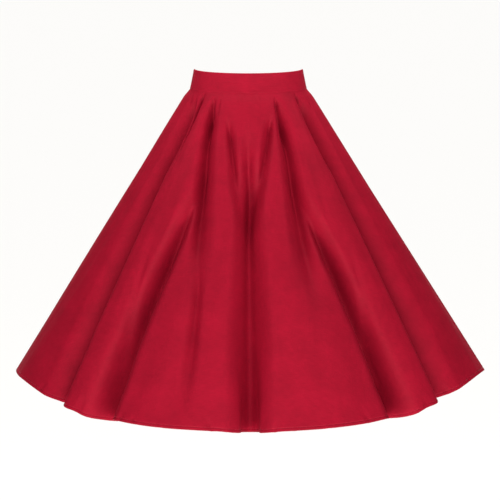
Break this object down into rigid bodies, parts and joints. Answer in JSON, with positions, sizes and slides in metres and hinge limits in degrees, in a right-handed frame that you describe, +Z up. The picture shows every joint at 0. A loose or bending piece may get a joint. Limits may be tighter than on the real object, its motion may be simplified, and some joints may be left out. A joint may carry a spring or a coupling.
{
  "type": "circle skirt",
  "caption": "Flared circle skirt on a shaped waistband, filled out as worn: fluted folds, a narrow turned hem and a concealed zip at the centre back.",
  "frame": {"origin": "middle of the waist opening, level with the top edge of the waistband in front, where the wearer's waist holds the skirt", "axes": "+Z up, -Y towards the front of the skirt, +X towards the viewer's right when the front is looked at"},
  "size_m": [1.0351, 0.7908, 0.7413],
  "materials": {
    "sateen": "closely woven cotton sateen, red, softly lustrous",
    "zip_tape": "woven polyester tape, red",
    "zip_coil": "nylon coil, dyed red",
    "zip_metal": "zinc casting, painted red"
  },
  "bodies": {
    "skirt": {"skirt_front": "sateen", "skirt_back_right": "sateen", "skirt_back_left": "sateen", "waistband_front": "sateen", "waistband_back_right": "sateen", "waistband_back_left": "sateen", "zip_tape_right": "zip_tape", "zip_tape_left": "zip_tape", "zip_coil": "zip_coil", "zip_slider": "zip_metal"},
    "zip_pull": {"zip_pull": "zip_metal"}
  },
  "joints": [
    {"name": "zip_pull_hinge", "type": "hinge", "parent": "skirt", "child": "zip_pull", "pos_m": [0, 0.09351, -0.03027], "axis": [1, 0, 0], "range_deg": [0, 170]}
  ]
}
